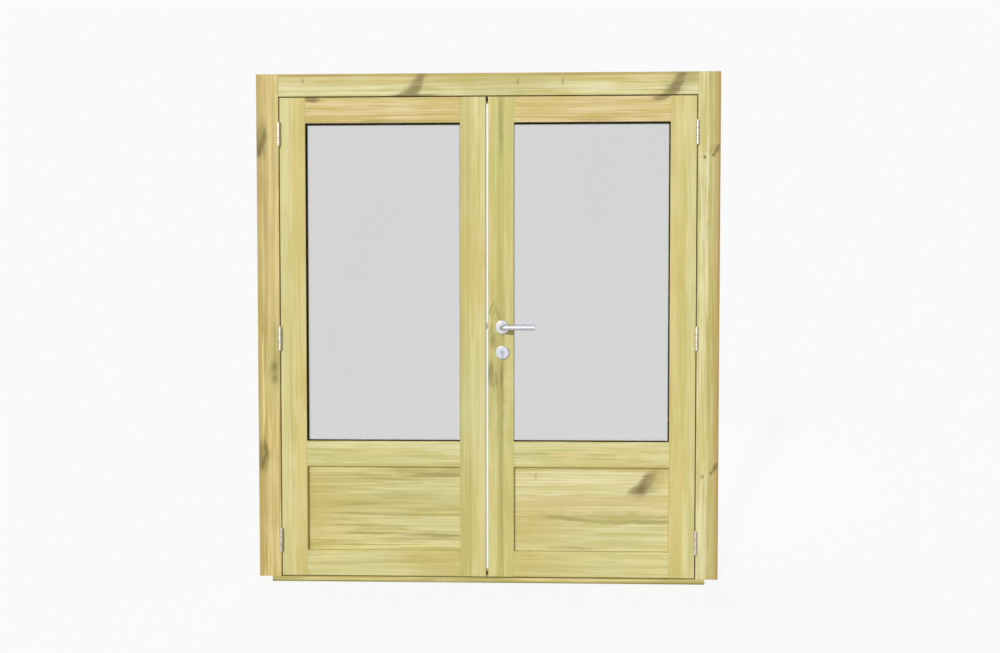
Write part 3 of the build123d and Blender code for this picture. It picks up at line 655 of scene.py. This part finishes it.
            ((-0.14, 0.075), 0.26, 0.12, 0, "gold", 0.55, 1.0),
            ((-0.45, 0.085), 0.16, 0.060, 0, "celadon", 0.6, 1.0),
        ],
    },
    "right_bottom_rail": {
        "grain": "x", "seed": 14.0, "heart": (-0.25, 0.03, 0.07), "ring": 0.008, "depth": 0.5,
        "tones": ("straw", "lemon", "celadon"), "drift": 0.4, "bands": [],
        "marks": [((0.14, 0.075), 0.26, 0.12, 0, "gold", 0.55, 1.0)],
    },
    "left_lower_panel": {
        "grain": "x", "seed": 15.0, "heart": (0.5, 0.02, 0.10), "ring": 0.008, "depth": 0.6,
        "tones": ("straw", "olive", "celadon"), "drift": 0.4, "boards": (0.125, 0.11),
        "bands": [(0.272, 0.345, 0.003, "olive", 0.5)],
        "marks": [
            ((-0.70, 0.29), 0.24, 0.24, 0, "gold", 0.75, 1.0),
            ((-0.15, 0.330), 0.09, 0.034, 0, "celadon", 0.7, 0.9),
            ((-0.24, 0.372), 0.24, 0.036, 0, "celadon", 0.75, 0.8),
            ((-0.22, 0.232), 0.24, 0.036, 0, "celadon", 0.75, 0.8),
            ((-0.20, 0.418), 0.15, 0.012, 0, "moss", 0.65, 0.7),
            ((-0.42, 0.420), 0.16, 0.007, 0, "moss", 0.35, 0.8),
            ((-0.20, 0.182), 0.17, 0.010, -1, "moss", 0.65, 0.7),
            ((-0.27, 0.168), 0.22, 0.009, 0, "moss", 0.4, 0.9),
            ((-0.45, 0.190), 0.18, 0.007, 0, "moss", 0.35, 0.8),
            ((-0.50, 0.302), 0.10, 0.006, 1, "moss", 0.45, 0.8),
            ((-0.52, 0.268), 0.12, 0.005, 0, "moss", 0.4, 0.8),
        ],
    },
    "right_lower_panel": {
        "grain": "x", "seed": 16.0, "heart": (-0.4, 0.03, 0.09), "ring": 0.0075, "depth": 0.55,
        "tones": ("cream", "lemon", "celadon"), "drift": 0.3, "boards": (0.125, 0.11),
        "bands": [
            (0.341, 0.440, 0.0015, "cream", 0.3), (0.262, 0.341, 0.0015, "rose", 0.5),
            (0.442, 0.47, 0.004, "amber", 0.6), (0.12, 0.235, 0.0015, "celadon", 0.4),
        ],
        "marks": [
            ((0.16, 0.22), 0.26, 0.12, 0, "gold", 0.8, 1.0),
            ((0.640, 0.400), 0.110, 0.050, 50, "moss", 0.35, 0.9),
            ((0.621, 0.392), 0.072, 0.030, 57, "umber", 0.9, 0.6),
            ((0.584, 0.362), 0.052, 0.022, 22, "umber", 0.8, 0.7),
            ((0.33, 0.250), 0.16, 0.011, -5, "moss", 0.95, 0.8),
            ((0.58, 0.240), 0.24, 0.010, 0, "moss", 0.9, 0.8),
            ((0.56, 0.260), 0.24, 0.013, 0, "moss", 0.35, 0.9),
            ((0.50, 0.255), 0.34, 0.030, 0, "olive", 0.9, 0.8),
            ((0.67, 0.400), 0.06, 0.060, 0, "gold", 0.8, 1.0),
            ((0.60, 0.440), 0.16, 0.009, 0, "amber", 0.6, 0.8),
            ((0.625, 0.362), 0.05, 0.018, 10, "moss", 0.5, 0.9),
            ((0.19, 0.415), 0.006, 0.018, 0, "rust", 0.6, 0.8),
            ((0.34, 0.135), 0.12, 0.009, 0, "moss", 0.5, 0.8),
            ((0.52, 0.160), 0.20, 0.008, 0, "pea", 0.6, 0.9),
        ],
    },
    "left_glazing_beads": {
        "grain": "z", "seed": 17.0, "heart": (0.0, 0.05, 0.05), "ring": 0.007, "depth": 0.5,
        "tones": ("straw", "lemon", "honey"), "drift": 0.4, "bands": [], "marks": [],
    },
    "right_glazing_beads": {
        "grain": "z", "seed": 18.0, "heart": (0.0, -0.05, 0.05), "ring": 0.007, "depth": 0.5,
        "tones": ("straw", "lemon", "honey"), "drift": 0.4, "bands": [], "marks": [],
    },
}


def makePine(name, s):
    low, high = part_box(name)
    middle = (low + high) / 2
    level = s["grain"] == "x"
    material, tree, bsdf = startMaterial("pine_" + name)
    centred = vecCalc(tree, "SUBTRACT", ownPlace(tree), tuple(middle)).outputs[0]
    fromX, fromY, fromZ = split(tree, centred)
    along, across, acrossMiddle = (fromX, fromZ, middle.z) if level else (fromZ, fromX, middle.x)
    board = put(tree, "ShaderNodeCombineXYZ", {0: along, 1: across, 2: fromY}).outputs[0]
    seed = s["seed"]
    if "boards" in s:                    # glued up from narrower boards, each with its own grain
        start, pitch = s["boards"]
        count = calc(tree, "DIVIDE", calc(tree, "SUBTRACT", across, start - acrossMiddle), pitch)
        seed = calc(tree, "MULTIPLY_ADD", calc(tree, "FLOOR", count), pineSettings["boardStep"], seed)
    pale, deep, drift = (pineTones[tone] for tone in s["tones"])
    grain = useGroup(tree, pineGrain, {
        "Board": board, "Seed": seed, "Heart": s["heart"], "Ring Width": s["ring"], "Ring Depth": s["depth"],
        "Pale": pale, "Deep": deep, "Drift": drift, "Drift Share": s["drift"],
        "Contrast": s.get("contrast", pineSettings["contrast"]),
    })
    color = grain["Color"]
    for start, stop, edge, tone, strength in s["bands"]:
        mask = useGroup(tree, toneAndShadeBand, {
            "Board": board, "Low": start - acrossMiddle, "High": stop - acrossMiddle, "Edge": edge,
        })["Mask"]
        color = mixColor(tree, calc(tree, "MULTIPLY", mask, strength), color, pineTones[tone])
    for (x, z), reach, breadth, tilt, tone, strength, softness in s["marks"]:
        offX, offZ, front = x - middle.x, z - middle.z, low.y - middle.y
        mask = useGroup(tree, timberMarkAndShade, {
            "Board": board, "Place": (offX, offZ, front) if level else (offZ, offX, front),
            "Reach": reach, "Breadth": breadth, "Tilt": math.radians(tilt if level else -tilt),
            "Softness": softness,
        })["Mask"]
        color = mixColor(tree, calc(tree, "MULTIPLY", mask, strength), color, pineTones[tone])
    paintFrom(tree, bsdf, {"Color": color, "Roughness": grain["Roughness"]})
    bsdf.inputs["Specular IOR Level"].default_value = pineSettings["shine"]
    bumpInto(tree, bsdf, grain["Height"], pineSettings["bump"], pineSettings["grainDepth"])
    return material


for name, settings in timbers.items():
    dress(makePine(name, settings), name)
print("timber finished:", len(timbers), "members")


# Worked metal: fine scratches one way, faint cloudy patches, a dull bloom
satinSettings = {
    "brush": (3.0, 0.6),                       # detail and roughness of the scratches
    "brushShare": 0.6,
    "cloud": ((55.0, 55.0, 55.0), 3.0, 0.6),
    "cloudShare": 0.4,
    "roughTurn": (0.3, 0.7),
    "dullTurn": (0.35, 0.7),
    "scratchDepth": 0.0002,                    # m
}


def makeSatinGroup(s):
    tree, given, result = startGroup(
        "satinFinish",
        {
            "Place": "Vector", "Brush": "Vector", "Low": "Float", "High": "Float", "Color": "Color",
            "Dull": "Color",
        },
        {"Color": "Color", "Roughness": "Float", "Height": "Float"},
    )
    brush = noise(tree, given["Place"], given["Brush"], *s["brush"])[0]
    cloud = noise(tree, given["Place"], *s["cloud"])[0]
    share = calc(tree, "MULTIPLY", brush, s["brushShare"])
    share = calc(tree, "MULTIPLY_ADD", cloud, s["cloudShare"], share)
    low, high = s["roughTurn"]
    rough = put(tree, "ShaderNodeMapRange", {0: share, 1: low, 2: high, 3: given["Low"], 4: given["High"]})
    color = mixColor(tree, ramp(tree, cloud, *s["dullTurn"]), given["Color"], given["Dull"])
    tree.links.new(color, result["Color"])
    tree.links.new(rough.outputs[0], result["Roughness"])
    tree.links.new(brush, result["Height"])
    return tree


satinFinish = makeSatinGroup(satinSettings)

# A brush is how often the scratches repeat in a metre along x, y and z
metals = {
    "satinSteel": {
        "color": linear(218, 211, 196), "dull": linear(198, 191, 178), "low": 0.46, "high": 0.60,
        "brush": (2400.0, 2400.0, 50.0), "bump": 0.10, "nodes": [],
    },
    "satinAluminium": {
        "color": linear(212, 213, 221), "dull": linear(200, 202, 210), "low": 0.22, "high": 0.32,
        "brush": (60.0, 2200.0, 2200.0), "bump": 0.06,
        "nodes": [
            "outer_rose", "inner_rose", "outer_key_rose", "inner_key_rose", "outer_lever", "inner_lever",
        ],
    },
    "satinNickel": {
        "color": linear(192, 195, 203), "dull": linear(174, 177, 186), "low": 0.22, "high": 0.34,
        "brush": (2200.0, 60.0, 2200.0), "bump": 0.06, "nodes": ["cylinder_body", "cylinder_plug"],
    },
    "zincPlate": {
        "color": linear(206, 208, 206), "dull": linear(176, 178, 172), "low": 0.32, "high": 0.55,
        "brush": (300.0, 300.0, 300.0), "bump": 0.12, "nodes": ["lock_case", "lock_follower", "spindle"],
    },
}
for subpart in frame["record"]["subparts"]:
    node = subpart["node"]
    if subpart["material_slot"] == "satin_steel" and node not in metals["satinNickel"]["nodes"]:
        metals["satinSteel"]["nodes"].append(node)


def makeMetal(name, s):
    material, tree, bsdf = startMaterial(name)
    finish = useGroup(tree, satinFinish, {
        "Place": ownPlace(tree), "Brush": s["brush"], "Low": s["low"], "High": s["high"],
        "Color": s["color"], "Dull": s["dull"],
    })
    bsdf.inputs["Metallic"].default_value = 1.0
    paintFrom(tree, bsdf, finish)
    bumpInto(tree, bsdf, finish["Height"], s["bump"], satinSettings["scratchDepth"])
    return material


metalFinishes = {}
for name, settings in metals.items():
    metalFinishes[name] = makeMetal(name, settings)
    dress(metalFinishes[name], *settings["nodes"])
print("metal finished")


# Dust that settles in soft patches and dulls the surface
dustSettings = {"detail": 4.0, "roughness": 0.6, "toneTurn": (0.45, 0.75), "roughTurn": (0.3, 0.7)}


def makeDustGroup(s):
    tree, given, result = startGroup(
        "settledDust",
        {
            "Place": "Vector", "Scale": "Float", "Color": "Color", "Dust": "Color", "Clean": "Float",
            "Dusty": "Float",
        },
        {"Color": "Color", "Roughness": "Float"},
    )
    patches = put(tree, "ShaderNodeTexNoise", {
        "Vector": given["Place"], "Scale": given["Scale"], "Detail": s["detail"], "Roughness": s["roughness"],
    }).outputs[0]
    color = mixColor(tree, ramp(tree, patches, *s["toneTurn"]), given["Color"], given["Dust"])
    tree.links.new(color, result["Color"])
    rough = ramp(tree, patches, *s["roughTurn"], given["Clean"], given["Dusty"])
    tree.links.new(rough, result["Roughness"])
    return tree


settledDust = makeDustGroup(dustSettings)


def dustOver(tree, bsdf, s):
    clean, dusty = s["rough"]
    paintFrom(tree, bsdf, useGroup(tree, settledDust, {
        "Place": ownPlace(tree), "Scale": s["patches"], "Color": s["color"], "Dust": s["dust"],
        "Clean": clean, "Dusty": dusty,
    }))
    bsdf.inputs["Specular IOR Level"].default_value = s["shine"]


# Moulded black seal and grey nylon washers. The seal is a real part, coloured near black to stand in for the
# shade in the pane reveals
moulded = {
    "blackSealAndShade": {
        "color": linear(6, 5, 4), "dust": linear(16, 15, 12), "rough": (0.7, 0.9), "patches": 30.0,
        "shine": 0.1, "nodes": ["left_glazing_gasket", "right_glazing_gasket"],
    },
    "greyNylon": {
        "color": linear(92, 91, 88), "dust": linear(118, 117, 112), "rough": (0.4, 0.55), "patches": 30.0,
        "shine": 0.5, "nodes": ["hinge_washers"],
    },
}
mouldGrain = {"noise": ((900.0, 900.0, 900.0), 2.0), "bump": 0.15, "depth": 0.0002}    # depth in m


def makeMoulded(name, s, grain):
    material, tree, bsdf = startMaterial(name)
    dustOver(tree, bsdf, s)
    height = noise(tree, ownPlace(tree), *grain["noise"])[0]
    bumpInto(tree, bsdf, height, grain["bump"], grain["depth"])
    return material


for name, settings in moulded.items():
    dress(makeMoulded(name, settings, mouldGrain), *settings["nodes"])

# Clear panes, a little grey, with a trace of dust
paneSettings = {
    "color": linear(216, 216, 216), "dust": linear(214, 214, 215), "rough": (0.0, 0.012), "patches": 1.5,
    "shine": 0.3, "bend": 1.5,
}


def makePane(s):
    material, tree, bsdf = startMaterial("paneGlass")
    dustOver(tree, bsdf, s)
    bsdf.inputs["Transmission Weight"].default_value = 1.0
    bsdf.inputs["IOR"].default_value = s["bend"]
    return material


paneGlass = makePane(paneSettings)
for name in ("left_glass", "right_glass"):
    dress(paneGlass, name)
    nodes[name].visible_shadow = False   # panes let the light through
print("seals and panes finished")

# Pins that hold the glazing beads, on the back of each leaf
beadPins = {
    "pitch": 0.15,             # m, about
    "inset": 0.0045,           # m, from the bead's outer edge
    "endGap": 0.05,            # m, from a bead's end to its first pin
    "radius": 0.0016,          # m
    "dome": 0.0005,            # m
    "segments": 12,
    "rings": 8,
}


def makePinTree(s):
    tree = bpy.data.node_groups.new("beadPinRow", "GeometryNodeTree")
    for label, kind in (("Middle", "Vector"), ("Width", "Float"), ("Height", "Float"), ("Side Pins", "Int"),
                        ("Level Pins", "Int"), ("End Gap", "Float"), ("Radius", "Float"), ("Dome", "Float"),
                        ("Finish", "Material")):
        tree.interface.new_socket(label, in_out="INPUT", socket_type="NodeSocket" + kind)
    tree.interface.new_socket("Geometry", in_out="OUTPUT", socket_type="NodeSocketGeometry")
    given = tree.nodes.new("NodeGroupInput").outputs
    result = tree.nodes.new("NodeGroupOutput").inputs
    rows = put(tree, "GeometryNodeJoinGeometry")
    halfWidth = calc(tree, "MULTIPLY", given["Width"], 0.5)
    halfHeight = calc(tree, "MULTIPLY", given["Height"], 0.5)
    sideRun = calc(tree, "SUBTRACT", halfHeight, given["End Gap"])
    levelRun = calc(tree, "SUBTRACT", halfWidth, given["End Gap"])
    for side in (-1.0, 1.0):
        for upright in (True, False):
            half, run = (halfWidth, sideRun) if upright else (halfHeight, levelRun)
            fixed = calc(tree, "MULTIPLY", half, side)
            back = calc(tree, "MULTIPLY", run, -1.0)
            ends = [{0: fixed, 2: end} if upright else {0: end, 2: fixed} for end in (back, run)]
            start, stop = (put(tree, "ShaderNodeCombineXYZ", end).outputs[0] for end in ends)
            line = put(tree, "GeometryNodeMeshLine", {
                "Count": given["Side Pins" if upright else "Level Pins"],
                "Start Location": start, "Offset": stop,
            }, mode="END_POINTS")
            tree.links.new(line.outputs[0], rows.inputs[0])
    pin = put(tree, "GeometryNodeMeshUVSphere", {
        "Segments": s["segments"], "Rings": s["rings"], "Radius": given["Radius"],
    })
    flat = calc(tree, "DIVIDE", given["Dome"], given["Radius"])
    squash = put(tree, "ShaderNodeCombineXYZ", {0: 1.0, 1: flat, 2: 1.0}).outputs[0]
    shaped = put(tree, "GeometryNodeTransform", {"Geometry": pin.outputs[0], "Scale": squash})
    spread = put(tree, "GeometryNodeInstanceOnPoints", {
        "Points": rows.outputs[0], "Instance": shaped.outputs[0],
    })
    moved = put(tree, "GeometryNodeTransform", {
        "Geometry": spread.outputs[0], "Translation": given["Middle"],
    })
    solid = put(tree, "GeometryNodeRealizeInstances", {0: moved.outputs[0]})
    smooth = put(tree, "GeometryNodeSetShadeSmooth", {0: solid.outputs[0]})
    finish = put(tree, "GeometryNodeSetMaterial", {
        "Geometry": smooth.outputs[0], "Material": given["Finish"],
    })
    tree.links.new(finish.outputs[0], result[0])
    return tree


def makeBeadPins(side, s, tree):
    low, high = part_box(side + "_glazing_beads")
    width = high.x - low.x - 2 * s["inset"]
    height = high.z - low.z - 2 * s["inset"]
    values = {
        "Middle": ((low.x + high.x) / 2, high.y, (low.z + high.z) / 2),
        "Width": width, "Height": height,
        "Side Pins": round((height - 2 * s["endGap"]) / s["pitch"]) + 1,
        "Level Pins": round((width - 2 * s["endGap"]) / s["pitch"]) + 1,
        "End Gap": s["endGap"], "Radius": s["radius"], "Dome": s["dome"],
        "Finish": metalFinishes["satinSteel"],
    }
    holder = bpy.data.objects.new(side + "PinRow", bpy.data.meshes.new(side + "PinRow"))
    scene.collection.objects.link(holder)
    modifier = holder.modifiers.new("pins", "NODES")
    modifier.node_group = tree
    for item in tree.interface.items_tree:
        if item.in_out == "INPUT":
            modifier[item.identifier] = values[item.name]
    ready = holder.evaluated_get(bpy.context.evaluated_depsgraph_get())
    pins = bpy.data.objects.new(side + "BeadPins", bpy.data.meshes.new_from_object(ready))
    scene.collection.objects.link(pins)
    bpy.data.objects.remove(holder)
    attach(pins, side + "_leaf")
    print(side, "bead pins:", len(pins.data.polygons), "faces")


pinTree = makePinTree(beadPins)
for side in ("left", "right"):
    makeBeadPins(side, beadPins, pinTree)
